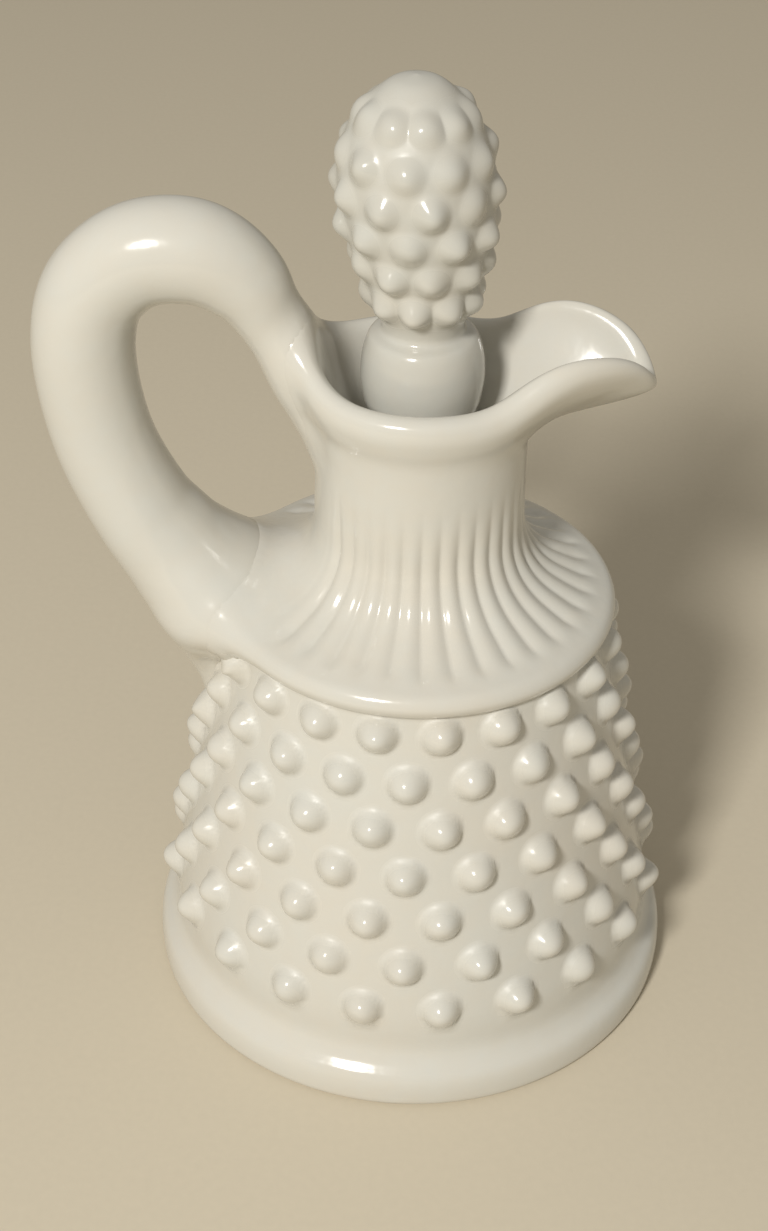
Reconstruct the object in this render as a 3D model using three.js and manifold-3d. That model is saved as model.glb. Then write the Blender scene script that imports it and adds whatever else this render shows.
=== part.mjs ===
// Milk-glass cruet: hobnailed bottle with a pulled spout, a looped handle and a hobnailed stopper.
// Millimetres, +Z up, +X towards the spout. The origin is on the bottle's axis at the foot plane.
import * as THREE from "three";
import { mergeVertices } from "three/addons/utils/BufferGeometryUtils.js";
import Module from "manifold-3d";

const wasm = await Module();
wasm.setup();

// Foot and hobnailed wall
const footRadius = 33.9;
const footEdge = 1;
const footFlangeHeight = 3;
const footBandHeight = 12.5;
const wallBottomRadius = 31.1;
const wallTopRadius = 22.7;
const bodyHeight = 53.6;
const wallThickness = 3.2;
const baseThickness = 4.5;
const recessRadius = 22;
const recessDepth = 0.6;

// Hobnails on the wall
const hobRows = 7;
const hobsPerRow = 20;
const hobRadius = 2.3;
const hobHeight = 2.2;
const hobFacets = 6;
const hobTurn = 7.7;
const hobFootGap = 1.6;
const hobTopGap = 2.6;

// Skirt and fluted shoulder
const skirtRadius = 24.1;
const skirtHeight = 3.8;
const skirtEdge = 0.7;
const shoulderRise = 7.6;
const fluteCount = 36;
const fluteDepth = 0.6;
const fluteTurn = -3;
const shoulderThickness = 3.4;
const shoulderLedge = 0.4;

// Neck, lip and pouring spout
const neckRadius = 12.4;
const neckHeight = 12;
const boreTopRadius = 7.1;
const boreBottomRadius = 6.3;
const lipHeight = 9.5;
const lipRadius = 13.7;
const rimRadius = 12;
const rimLand = 1.4;
const spoutReach = 14;
const spoutAngle = 26.8;
const spoutTipAngle = 6;
const spoutFlankRise = 4.7;
const spoutFlankAngle = 21;
const spoutTipDrop = 2.1;
const handleSideRise = 6.3;
const handleSideRiseAngle = 28;
const handleSideReach = 2.2;
const handleSideReachAngle = 40;

// Handle
const handleReach = 44.5;
const handleTop = 106;
const gripThickness = 11.8;
const gripTopThickness = 7;
const gripRootThickness = 14.2;
const handleRootWidth = 19;
const handlePadAngle = 42;
const archHalfWidth = 10.6;
const archDrop = 11.2;
const tailLength = 13.5;
const handleGap = 0.3;

// Stopper
const seatGap = 0.3;
const pegLength = 20;
const pegChamfer = 0.8;
const knobRadius = 7.1;
const knobHeight = 11;
const grooveHeight = 3.3;
const grooveRadius = 6.2;
const waistRadius = 4.7;
const finialRadius = 8.7;
const finialHeight = 29.3;
const finialLean = -1.3;
const finialHobRows = 6;
const finialHobsPerRow = 10;
const finialHobTurn = 4;
const finialHobRadius = 1.8;
const finialHobHeight = 1;
const finialHobFacets = 5;

// Heights that follow from the sizes above
const skirtTop = bodyHeight + skirtHeight;
const neckBottom = skirtTop + shoulderRise;
const lipBottom = neckBottom + neckHeight;
const rimHeight = lipBottom + lipHeight;

// Facets: two to each hobnail round a wall, two to each flute round the neck
const wallSegments = 2 * hobsPerRow;
const neckSegments = 2 * fluteCount;
const finialSegments = 2 * finialHobsPerRow;

const glass = { color: 0xcfc8b6, roughness: 0.18, metalness: 0 };

const degrees = (angle) => angle * 180 / Math.PI;
const radians = (angle) => angle * Math.PI / 180;
const mix = (from, to, share) => from + (to - from) * share;
const bell = (distance, width, power = 2) => Math.exp(-((Math.abs(distance) / width) ** power));

function smooth(value, from, to) {
  return THREE.MathUtils.smoothstep(value, from, to);
}

// A solid of revolution about Z; its profile of [radius, height] pairs ends on the axis or closes on itself
function turned(profile, segments, turn = 0) {
  const points = profile.map(([radius, height]) => new THREE.Vector2(radius, height));
  const geometry = new THREE.LatheGeometry(points, segments);
  geometry.rotateX(Math.PI / 2);
  geometry.rotateZ(radians(turn));
  return geometry;
}

function warp(geometry, move) {
  const position = geometry.attributes.position;
  const point = new THREE.Vector3();
  for (let i = 0; i < position.count; i += 1) {
    point.fromBufferAttribute(position, i);
    move(point);
    position.setXYZ(i, point.x, point.y, point.z);
  }
  return geometry;
}

function solid(geometry) {
  geometry.deleteAttribute("normal");
  geometry.deleteAttribute("uv");
  const merged = mergeVertices(geometry, 1e-4);
  const index = merged.index.array;
  const triangles = [];
  for (let i = 0; i < index.length; i += 3) {
    const [a, b, c] = [index[i], index[i + 1], index[i + 2]];
    if (a !== b && b !== c && c !== a) triangles.push(a, b, c);
  }
  const vertProperties = merged.attributes.position.array;
  const triVerts = new Uint32Array(triangles);
  return new wasm.Manifold(new wasm.Mesh({ numProp: 3, vertProperties, triVerts }));
}

function named(name, manifold) {
  const { vertProperties, triVerts } = manifold.getMesh();
  const geometry = new THREE.BufferGeometry();
  geometry.setAttribute("position", new THREE.BufferAttribute(vertProperties, 3));
  geometry.setIndex(new THREE.BufferAttribute(triVerts, 1));
  geometry.computeVertexNormals();
  const mesh = new THREE.Mesh(geometry, new THREE.MeshStandardMaterial(glass));
  mesh.name = name;
  return mesh;
}

function wallRadius(height) {
  return mix(wallBottomRadius, wallTopRadius, (height - footBandHeight) / (bodyHeight - footBandHeight));
}

// The foot and the hobnailed wall as one open cup, grown outwards by a clearance
function cup(clearance) {
  const innerTop = wallTopRadius - wallThickness;
  const innerBottom = wallBottomRadius - wallThickness;
  const cupTop = bodyHeight + skirtHeight / 6;
  return turned([
    [0, recessDepth],
    [recessRadius, recessDepth],
    [recessRadius + 2 * recessDepth, 0],
    [footRadius - footEdge, 0],
    [footRadius + clearance, footEdge],
    [footRadius + clearance, footFlangeHeight],
    [mix(wallBottomRadius, footRadius, 0.72) + clearance, mix(footFlangeHeight, footBandHeight, 0.14)],
    [mix(wallBottomRadius, footRadius, 0.28) + clearance, mix(footFlangeHeight, footBandHeight, 0.36)],
    [mix(wallBottomRadius, footRadius, 0.05) + clearance, mix(footFlangeHeight, footBandHeight, 0.64)],
    [wallBottomRadius + clearance, footBandHeight],
    [wallTopRadius + clearance, cupTop],
    [innerTop, cupTop],
    [innerBottom, footBandHeight],
    [innerBottom - wallThickness / 4, baseThickness + wallThickness],
    [innerBottom - wallThickness, baseThickness + wallThickness / 6],
    [0, baseThickness],
  ], wallSegments, hobTurn + 90 / hobsPerRow);
}

// A blunt round-topped stud along Z, standing on the plane through its foot and sunk below it
function stud(radius, height, sink, facets) {
  return turned([
    [0, -sink],
    [radius, -sink],
    [radius * 0.62, height * 0.72],
    [0, height],
  ], facets);
}

// One hobnail on a round wall: at an angle from the front, at a height, leaning with the wall's slope
function placeStud(shape, radius, height, angle, slope, shift) {
  shape.rotateY(Math.PI / 2 - slope);
  shape.translate(radius, 0, height);
  shape.rotateZ(radians(angle - 90));
  shape.translate(shift, 0, 0);
  return solid(shape);
}

function wallHobs(clearance) {
  const lowest = footBandHeight + hobFootGap;
  const highest = bodyHeight - hobTopGap;
  const slope = Math.atan2(wallBottomRadius - wallTopRadius, bodyHeight - footBandHeight);
  const studs = [];
  for (let row = 0; row < hobRows; row += 1) {
    const height = mix(lowest, highest, row / (hobRows - 1));
    for (let i = 0; i < hobsPerRow; i += 1) {
      const angle = hobTurn + (i + (row % 2) / 2) * 360 / hobsPerRow;
      const shape = stud(hobRadius + clearance, hobHeight + clearance, wallThickness / 3, hobFacets);
      studs.push(placeStud(shape, wallRadius(height), height, angle, slope, 0));
    }
  }
  return studs;
}

// Depth of a flute: it runs over the shoulder, fades out up the neck and is smoothed away under the handle
function fluteAt(height, radius, fromHandle) {
  const fadeOut = 1 - smooth(radius, mix(neckRadius, skirtRadius, 0.6), mix(neckRadius, skirtRadius, 0.85));
  const fadeUp = 1 - smooth(height, neckBottom, lipBottom - neckHeight / 6);
  return fluteDepth * fadeOut * fadeUp * (1 - bell(fromHandle, handlePadAngle, 4));
}

// The lip is pulled out to the spout, raised on its flanks and drawn up to the handle
function pullLip(point) {
  const share = THREE.MathUtils.clamp((point.z - lipBottom) / lipHeight, 0, 1);
  const radius = Math.hypot(point.x, point.y);
  const angle = Math.abs(degrees(Math.atan2(point.y, point.x)));
  const blunt = Math.hypot(angle, spoutTipAngle);
  const toTip = bell(blunt, spoutAngle, 1.52) / bell(spoutTipAngle, spoutAngle, 1.52);
  const toSpout = spoutReach * share ** 1.3 * toTip;
  const toHandle = handleSideReach * share * bell(180 - angle, handleSideReachAngle);
  const flank = spoutFlankRise * bell(angle - spoutFlankAngle, spoutFlankAngle);
  const tip = spoutTipDrop * bell(angle, spoutFlankAngle / 3);
  const handleSide = handleSideRise * bell(180 - angle, handleSideRiseAngle);
  point.x *= (radius + toSpout + toHandle) / radius;
  point.y *= (radius + toSpout + toHandle) / radius;
  point.z += share * (flank - tip + handleSide);
}

// Skirt, shoulder, neck and lip as one ring round the bore, grown outwards by a clearance
function collar(clearance) {
  const shoulder = (share) => mix(skirtRadius, neckRadius, share);
  const inside = wallTopRadius - wallThickness;
  const roof = skirtTop + shoulderRise / 3 - shoulderThickness;
  const flank = neckRadius + clearance;
  const geometry = turned([
    [inside - shoulderLedge, bodyHeight],
    [mix(wallTopRadius, skirtRadius, 0.6), bodyHeight - clearance],
    [skirtRadius + clearance - skirtEdge / 2, bodyHeight + skirtHeight * 0.16 - clearance / 2],
    [skirtRadius + clearance, bodyHeight + skirtHeight * 0.45],
    [skirtRadius + clearance - skirtEdge, bodyHeight + skirtHeight * 0.74],
    [shoulder(0.19), skirtTop - skirtHeight / 20 + clearance],
    [shoulder(0.45), skirtTop + shoulderRise * 0.15 + clearance],
    [shoulder(0.72) + clearance / 2, skirtTop + shoulderRise * 0.4 + clearance],
    [shoulder(0.88) + clearance, skirtTop + shoulderRise * 0.68 + clearance / 2],
    [shoulder(0.97) + clearance, neckBottom],
    [flank, neckBottom + neckHeight * 0.35],
    [flank, lipBottom - neckHeight / 8],
    [mix(neckRadius, lipRadius, 0.2) + clearance, lipBottom + lipHeight * 0.25],
    [mix(neckRadius, lipRadius, 0.65) + clearance, lipBottom + lipHeight * 0.55],
    [lipRadius + clearance, lipBottom + lipHeight * 0.82],
    [mix(rimRadius, lipRadius, 0.7) + clearance, lipBottom + lipHeight * 0.95],
    [rimRadius, rimHeight + clearance],
    [rimRadius - rimLand, rimHeight - lipHeight * 0.08],
    [mix(boreTopRadius, rimRadius, 0.6), lipBottom + lipHeight * 0.64],
    [boreTopRadius, lipBottom],
    [boreBottomRadius, neckBottom - shoulderRise / 2],
    [mix(boreBottomRadius, inside, 0.35), roof],
    [inside - shoulderLedge, bodyHeight],
  ], neckSegments, fluteTurn);
  return warp(geometry, (point) => {
    const radius = Math.hypot(point.x, point.y);
    const front = degrees(Math.atan2(point.x, -point.y));
    const inGroove = Math.cos(radians((front - fluteTurn) * fluteCount)) < 0;
    const outside = radius > mix(boreTopRadius, neckRadius, 0.8) && point.z > skirtTop - skirtHeight / 8;
    const cut = inGroove && outside ? fluteAt(point.z, radius, Math.abs(front + 90)) : 0;
    const angle = radians(point.z > lipBottom ? front - fluteTurn : front);
    point.x = (radius - cut) * Math.sin(angle);
    point.y = (cut - radius) * Math.cos(angle);
    pullLip(point);
  });
}

function bottleSolid(clearance) {
  const parts = [solid(cup(clearance)), ...wallHobs(clearance), solid(collar(clearance))];
  return wasm.Manifold.union(parts);
}

// Centre line of the handle, from the lip over the arch and down to the tail on the skirt
function handleStations() {
  const farX = -handleReach + gripThickness / 2;
  const topZ = handleTop - gripThickness / 2;
  const archX = farX + archHalfWidth;
  const archZ = topZ - archDrop;
  const arch = (angle) => [
    archX + archHalfWidth * Math.cos(radians(angle)),
    archZ + archDrop * Math.sin(radians(angle)),
  ];
  const start = arch(42);
  const lip = [-neckRadius - 2.2, lipBottom + lipHeight * 0.74];
  const root = [-skirtRadius - gripRootThickness * 0.25, skirtTop + gripRootThickness * 0.12];
  const half = gripThickness / 2;
  const top = gripTopThickness / 2;
  const rootHalf = gripRootThickness / 2;
  const wide = handleRootWidth / 2;
  const onWall = (share, stand) => {
    const height = bodyHeight - tailLength * share;
    return [-wallRadius(height) - hobHeight * stand, height];
  };
  return [
    [-neckRadius + 1.2, lipBottom, top * 0.4, top * 0.8],
    [...lip, top * 0.7, top * 1.2],
    [mix(lip[0], start[0], 0.4), mix(lip[1], start[1], 0.52), top * 0.98, top * 1.2],
    [...start, mix(top, half, 0.6), mix(top, half, 0.65)],
    [...arch(75), half * 0.98, half * 0.98],
    [...arch(110), half, half],
    [...arch(145), half, half],
    [...arch(180), half, half],
    [mix(farX, root[0], 0.12), mix(archZ, root[1], 0.4), half, half],
    [mix(farX, root[0], 0.53), mix(archZ, root[1], 0.76), mix(half, rootHalf, 0.4), mix(half, wide, 0.35)],
    [...root, rootHalf, wide * 0.85],
    [...onWall(0.1, 1.64), rootHalf * 0.7, wide * 0.86],
    [...onWall(0.5, 0.91), rootHalf * 0.43, wide * 0.52],
    [...onWall(0.84, 0.14), rootHalf * 0.22, wide * 0.28],
    [...onWall(1, -0.2), rootHalf * 0.12, wide * 0.13],
  ];
}

// A round bar swept along the stations, with its thickness and width changing on the way
function handleBar() {
  const stations = handleStations();
  const places = stations.map(([x, z]) => new THREE.Vector3(x, 0, z));
  const sizes = stations.map(([, , thick, wide]) => new THREE.Vector3(thick, wide, 0));
  const path = new THREE.CatmullRomCurve3(places, false, "centripetal");
  const girth = new THREE.CatmullRomCurve3(sizes);
  const geometry = new THREE.CylinderGeometry(1, 1, 1, 14, 40);
  return warp(geometry, (point) => {
    const along = 0.5 - point.y;
    const centre = path.getPoint(along);
    const tangent = path.getTangent(along);
    const size = girth.getPoint(along);
    const across = point.x * size.x;
    const side = point.z * size.y;
    point.set(centre.x + tangent.z * across, side, centre.z - tangent.x * across);
  });
}

function handleSolid() {
  return solid(handleBar()).subtract(bottleSolid(handleGap));
}

// Radius and height pairs of the stopper, from the peg's end to the finial's tip
function stopperProfile() {
  const pegTop = lipBottom;
  const pegBottom = pegTop - pegLength;
  const boreBottom = neckBottom - shoulderRise / 2;
  const pegRadius = (height) => {
    const share = (height - boreBottom) / (lipBottom - boreBottom);
    return mix(boreBottomRadius, boreTopRadius, share) - seatGap;
  };
  const knobBottom = pegTop + grooveHeight;
  const waist = knobBottom + knobHeight;
  const finial = (share) => waist + finialHeight * share;
  return [
    [0, pegBottom],
    [pegRadius(pegBottom) - pegChamfer, pegBottom],
    [pegRadius(pegBottom), pegBottom + pegChamfer],
    [pegRadius(pegTop), pegTop],
    [grooveRadius, knobBottom],
    [knobRadius * 0.96, knobBottom + knobHeight * 0.25],
    [knobRadius, knobBottom + knobHeight * 0.5],
    [knobRadius * 0.95, knobBottom + knobHeight * 0.77],
    [mix(waistRadius, knobRadius, 0.55), knobBottom + knobHeight * 0.94],
    [waistRadius, waist],
    [mix(waistRadius, finialRadius, 0.28), finial(0.13)],
    [mix(waistRadius, finialRadius, 0.66), finial(0.3)],
    [finialRadius * 0.96, finial(0.45)],
    [finialRadius, finial(0.58)],
    [finialRadius * 0.96, finial(0.7)],
    [finialRadius * 0.82, finial(0.82)],
    [finialRadius * 0.6, finial(0.915)],
    [finialRadius * 0.3, finial(0.98)],
    [0, finial(1)],
  ];
}

function profileRadius(profile, height) {
  const next = profile.findIndex(([, z], i) => i > 0 && z >= height && profile[i - 1][1] < height);
  const [r0, z0] = profile[next - 1];
  const [r1, z1] = profile[next];
  const share = (height - z0) / (z1 - z0);
  return { radius: mix(r0, r1, share), slope: Math.atan2(r0 - r1, z1 - z0) };
}

function stopperSolid() {
  const profile = stopperProfile();
  const tip = profile[profile.length - 1][1];
  const waist = tip - finialHeight;
  const lean = (height) => finialLean * smooth(height, waist - knobHeight / 4, waist + finialHeight * 0.8);
  const body = warp(turned(profile, finialSegments, finialHobTurn + 90 / finialHobsPerRow), (point) => {
    point.x += lean(point.z);
  });
  const studs = [];
  for (let row = 0; row < finialHobRows; row += 1) {
    const height = waist + finialHeight * mix(0.155, 0.87, row / (finialHobRows - 1));
    const { radius, slope } = profileRadius(profile, height);
    for (let i = 0; i < finialHobsPerRow; i += 1) {
      const angle = finialHobTurn + (i + (row % 2 ? 0 : 0.5)) * 360 / finialHobsPerRow;
      const shape = stud(finialHobRadius, finialHobHeight, finialHobRadius / 2, finialHobFacets);
      studs.push(placeStud(shape, radius, height, angle, slope, lean(height)));
    }
  }
  return wasm.Manifold.union([solid(body), ...studs]);
}

const cruet = new THREE.Group();
cruet.add(named("bottle", bottleSolid(0)));
cruet.add(named("handle", handleSolid()));
cruet.add(named("stopper", stopperSolid()));

export default cruet;
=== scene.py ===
# Milk-glass cruet: hobnailed bottle with a pulled spout, a looped handle and a hobnailed stopper.
# Metres, +Z up, +X towards the spout. Every piece stands in the CAD frame.
import math

import bpy
from bpy.props import FloatProperty, FloatVectorProperty, IntProperty, PointerProperty
from mathutils import Matrix, Vector
from mathutils.bvhtree import BVHTree


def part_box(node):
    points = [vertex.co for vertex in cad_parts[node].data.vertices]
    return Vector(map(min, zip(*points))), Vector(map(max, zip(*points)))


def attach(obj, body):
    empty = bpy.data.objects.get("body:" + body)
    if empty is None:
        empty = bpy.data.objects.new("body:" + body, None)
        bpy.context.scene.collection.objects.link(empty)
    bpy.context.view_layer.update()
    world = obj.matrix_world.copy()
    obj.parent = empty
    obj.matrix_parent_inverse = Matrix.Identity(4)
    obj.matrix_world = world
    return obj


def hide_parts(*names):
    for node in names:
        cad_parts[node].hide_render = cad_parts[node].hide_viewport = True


bl_info = {
    "name": "Milk-Glass Cruet",
    "version": (1, 0, 0),
    "blender": (4, 5, 0),
    "location": "View3D > Sidebar > Cruet",
    "description": "Dresses the cruet's frame in hobnailed milk glass",
    "category": "Object",
}

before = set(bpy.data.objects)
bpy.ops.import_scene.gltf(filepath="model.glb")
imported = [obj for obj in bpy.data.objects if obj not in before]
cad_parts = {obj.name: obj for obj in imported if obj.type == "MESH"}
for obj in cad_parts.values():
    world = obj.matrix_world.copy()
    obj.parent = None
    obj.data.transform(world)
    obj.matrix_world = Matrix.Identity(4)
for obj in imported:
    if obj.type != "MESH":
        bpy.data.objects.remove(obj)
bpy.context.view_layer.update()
bottle_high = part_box("bottle")[1]
handle_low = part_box("handle")[0]
stopper_low, stopper_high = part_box("stopper")

MM = 0.001
BOTTLE_BODY = "bottle_body"
STOPPER_BODY = "stopper_body"


# Property kinds shared by the groups below
def length(name, default, description):
    return FloatProperty(name=name, description=description, default=default, unit="LENGTH", precision=5)


def angle(name, default, description):
    return FloatProperty(name=name, description=description, default=math.radians(default), subtype="ANGLE")


def count(name, default, description):
    return IntProperty(name=name, description=description, default=default, min=1)


def share(name, default, description):
    return FloatProperty(name=name, description=description, default=default, subtype="FACTOR")


def number(name, default, description):
    return FloatProperty(name=name, description=description, default=default)


def colour(name, default, description):
    kind = {"subtype": "COLOR", "min": 0, "max": 1}
    return FloatVectorProperty(name=name, description=description, default=default, **kind)


class BottleSizes(bpy.types.PropertyGroup):
    foot_radius: length("Foot radius", bottle_high.y - 0.05 * MM, "Radius of the flared foot")
    foot_band: length("Foot band", 12.5 * MM, "Height of the plain band under the hobnails")
    wall_bottom: length("Wall bottom radius", 31.0 * MM, "Radius of the wall above the foot band")
    wall_top: length("Wall top radius", 22.8 * MM, "Radius of the wall under the skirt")
    wall_height: length("Wall height", 53.6 * MM, "Height of the skirt's underside")
    wall_thickness: length("Wall thickness", 3.2 * MM, "Thickness of the glass in the wall")
    base_thickness: length("Base thickness", 4.5 * MM, "Height of the cavity's floor")
    recess_radius: length("Recess radius", 22 * MM, "Radius of the recess under the base")
    recess_depth: length("Recess depth", 0.6 * MM, "Depth of the recess under the base")
    skirt_radius: length("Skirt radius", 24.1 * MM, "Radius of the shoulder's overhanging skirt")
    skirt_height: length("Skirt height", 3.8 * MM, "Height of the skirt's rounded edge")
    shoulder_rise: length("Shoulder rise", 7.6 * MM, "Height of the fluted shoulder")
    neck_radius: length("Neck radius", 12.4 * MM, "Radius of the neck")
    neck_height: length("Neck height", 12 * MM, "Height of the neck below the lip")
    bore_top: length("Bore top radius", 7.1 * MM, "Radius of the ground bore under the mouth")
    bore_bottom: length("Bore bottom radius", 6.3 * MM, "Radius of the ground bore at its lower end")
    lip_height: length("Lip height", 9.5 * MM, "Height of the flaring lip")
    lip_radius: length("Lip radius", 13.7 * MM, "Outer radius of the lip's roll")
    rim_radius: length("Rim radius", 12 * MM, "Radius of the rim's crest")
    spout_reach: length("Spout reach", 13 * MM, "How far the lip is pulled out to the spout")
    spout_angle: angle("Spout angle", 26.8, "Half angle of the spout")
    spout_power: number("Spout power", 1.52, "Power of the spout's outline: smaller is more pointed")
    tip_angle: angle("Tip angle", 6, "Angle over which the spout's tip is rounded")
    flank_rise: length("Spout flank rise", 4.7 * MM, "Rise of the rim on each side of the spout")
    flank_angle: angle("Spout flank angle", 21, "Angle of the raised flanks from the spout's centre line")
    tip_drop: length("Spout tip drop", 2.1 * MM, "Drop of the rim at the spout's tip")
    handle_rise: length("Handle side rise", 5.8 * MM, "Rise of the rim towards the handle")
    rise_angle: angle("Handle rise angle", 28, "Half angle of the rim that rises to the handle")
    handle_draw: length("Handle side draw", 2.2 * MM, "How far the rim is drawn out to the handle")
    draw_angle: angle("Handle draw angle", 40, "Half angle of the rim that is drawn out to the handle")
    segments: count("Segments", 384, "Faces round the bottle")


class WallHobnails(bpy.types.PropertyGroup):
    rows: count("Rows", 7, "Rows of hobnails on the wall")
    per_row: count("Per row", 20, "Hobnails in a row")
    turn: angle("Turn", 7.7, "Angle of the lowest row's first hobnail from the front")
    low: length("Lowest row", 14.1 * MM, "Height of the lowest row")
    high: length("Highest row", 51.0 * MM, "Height of the highest row")
    radius: length("Radius", 2.5 * MM, "Radius of a hobnail with its fillet")
    height: length("Height", 2.2 * MM, "Height of a hobnail above the wall")
    fullness: number("Fullness", 0.95, "Power of the dome: smaller is fuller")
    top_share: share("Top share", 1, "Height of the top row against the lowest")
    uneven: share("Unevenness", 0.12, "How much the hobnails differ in height")


class FinialHobnails(bpy.types.PropertyGroup):
    rows: count("Rows", 6, "Rows of hobnails on the finial")
    per_row: count("Per row", 10, "Hobnails in a row")
    turn: angle("Turn", -7, "Angle of the lowest row's first hobnail from the front")
    low: length("Lowest row", 95.9 * MM, "Height of the lowest row")
    high: length("Highest row", 116.8 * MM, "Height of the highest row")
    radius: length("Radius", 2.5 * MM, "Radius of a hobnail with its fillet")
    height: length("Height", 1.35 * MM, "Height of a hobnail above the finial")
    fullness: number("Fullness", 2, "Power of the dome: smaller is fuller")
    top_share: share("Top share", 0.5, "Height of the top row against the lowest")
    uneven: share("Unevenness", 0.3, "How much the hobnails differ in height")


class ShoulderFlutes(bpy.types.PropertyGroup):
    flutes: count("Flutes", 36, "Flutes round the shoulder")
    turn: angle("Turn", -3, "Angle of a ridge from the front")
    depth: length("Depth", 0.44 * MM, "Depth of a flute")
    inner: length("Inner radius", 19.5 * MM, "Radius inside which the flutes have their full depth")
    outer: length("Outer radius", 22.3 * MM, "Radius outside which the shoulder is plain")
    low: length("Full up to", 65 * MM, "Height up to which the flutes have their full depth")
    high: length("Fade out at", 75 * MM, "Height at which the flutes have faded out on the neck")
    pad_angle: angle("Pad angle", 42, "Half angle of the smoothed patch under the handle")
    outside: length("Outside of", 10 * MM, "Radius inside which nothing is fluted, so that the bore is plain")
    above: length("Above", 56.8 * MM, "Height below which nothing is fluted, so that the skirt is plain")


class HandleSizes(bpy.types.PropertyGroup):
    reach: length("Reach", -handle_low.x - 0.1 * MM, "Distance of the grip's outside from the bottle's axis")
    top: length("Top", 106 * MM, "Height of the loop's top")
    grip: length("Grip thickness", 11.8 * MM, "Thickness of the grip")
    grip_top: length("Top thickness", 7 * MM, "Thickness where the handle is drawn onto the lip")
    grip_root: length("Root thickness", 13.2 * MM, "Thickness where the handle lies on the shoulder")
    root_width: length("Root width", 19 * MM, "Width where the handle lies on the shoulder")
    arch_width: length("Arch half width", 10.6 * MM, "Half width of the loop's arch")
    arch_drop: length("Arch drop", 11.2 * MM, "Height of the loop's arch above its widest point")
    tail: length("Tail length", 13.5 * MM, "Length of the tail below the skirt")
    tail_melt: length("Tail melt", 3.5 * MM, "Width of the glass that runs together along the tail")
    root_melt: length("Root melt", 12 * MM, "Width of the glass that runs together at the shoulder")
    lip_melt: length("Lip melt", 4 * MM, "Width of the glass that runs together at the lip")
    sides: count("Sides", 80, "Faces round the handle")
    steps: count("Steps", 16, "Faces along the handle between two stations")


class StopperSizes(bpy.types.PropertyGroup):
    tip: length("Tip", stopper_high.z - 0.05 * MM, "Height of the finial's tip")
    peg_end: length("Peg end", stopper_low.z, "Height of the peg's lower end")
    peg_bottom: length("Peg bottom radius", 5.9 * MM, "Radius of the ground peg at its lower end")
    peg_top: length("Peg top radius", 6.8 * MM, "Radius of the ground peg at its top")
    peg_height: length("Peg height", 20 * MM, "Length of the ground peg")
    groove: length("Groove height", 3.3 * MM, "Height of the groove between peg and knob")
    groove_radius: length("Groove radius", 6.2 * MM, "Radius of the knob's lower edge")
    knob_radius: length("Knob radius", 7.1 * MM, "Radius of the plain knob")
    knob_height: length("Knob height", 11 * MM, "Height of the plain knob")
    waist: length("Waist radius", 4.7 * MM, "Radius of the waist between knob and finial")
    finial_radius: length("Finial radius", 8.55 * MM, "Radius of the finial without its hobnails")
    lean: length("Finial lean", -1.3 * MM, "Sideways lean of the finial on its knob")
    segments: count("Segments", 240, "Faces round the stopper")


class GlassFinish(bpy.types.PropertyGroup):
    body: colour("Body colour", (0.63, 0.61, 0.56), "Colour of the bottle's milk glass")
    handle: colour("Handle colour", (0.63, 0.61, 0.56), "Colour of the handle's milk glass")
    stopper: colour("Stopper colour", (0.56, 0.545, 0.5), "Colour of the stopper's milk glass")
    cloud: share("Clouding", 0.5, "Strength of the faint clouds in the glass")
    gloss: share("Roughness", 0.12, "Roughness of the fire-polished surface")
    dust: share("Dust", 0.35, "How much rougher the glass is where dust settles round the hobnails")
    ripple: length("Ripple height", 0.03 * MM, "Height of the ripples that the mould and the fire left")


class StageSettings(bpy.types.PropertyGroup):
    floor: colour("Floor colour", (0.63, 0.565, 0.445), "Colour of the plain floor")
    floor_size: length("Floor size", 8, "Width of the floor")
    sky: number("Sky strength", 0.34, "Strength of the even light from all round")
    sky_colour: colour("Sky colour", (1, 0.95, 0.85), "Colour of the even light")
    lamp_power: number("Lamp power", 8.4, "Power of the soft box in watts")
    lamp_colour: colour("Lamp colour", (1, 0.98, 0.94), "Colour of the soft box's light")
    lamp_size: length("Lamp size", 0.15, "Width of the soft box")
    lamp_distance: length("Lamp distance", 1, "Distance of the soft box from the cruet")
    lamp_turn: angle("Lamp turn", -24, "Turn of the soft box from the front, to the right")
    lamp_rise: angle("Lamp rise", 38, "Height angle of the soft box")
    camera_back: length("Camera back", 204.4 * MM, "Distance of the camera in front of the axis")
    camera_height: length("Camera height", 200.09 * MM, "Height of the camera above the floor")
    camera_tilt: angle("Camera tilt", 36.07, "Angle of the view below the horizon")
    camera_turn: angle("Camera turn", 1.134, "Turn of the view to the left")
    camera_roll: angle("Camera roll", 0.694, "Roll of the camera")
    camera_lens: number("Lens", 60, "Focal length in millimetres on a 36 mm tall sensor")


# Small sums
def mix(start, end, part):
    """The value at a share of the way from start to end."""
    return start + (end - start) * part


def bell(distance, width, power=2.0):
    """1 at no distance, 0.37 at one width, and near 0 further out."""
    return math.exp(-((abs(distance) / width) ** power))


def smooth(value, start, end):
    """0 up to start, 1 from end on, smooth between."""
    part = min(max((value - start) / (end - start), 0), 1)
    return part * part * (3 - 2 * part)


# Meshes
LEAST_RADIUS = 0.01 * MM


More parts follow.
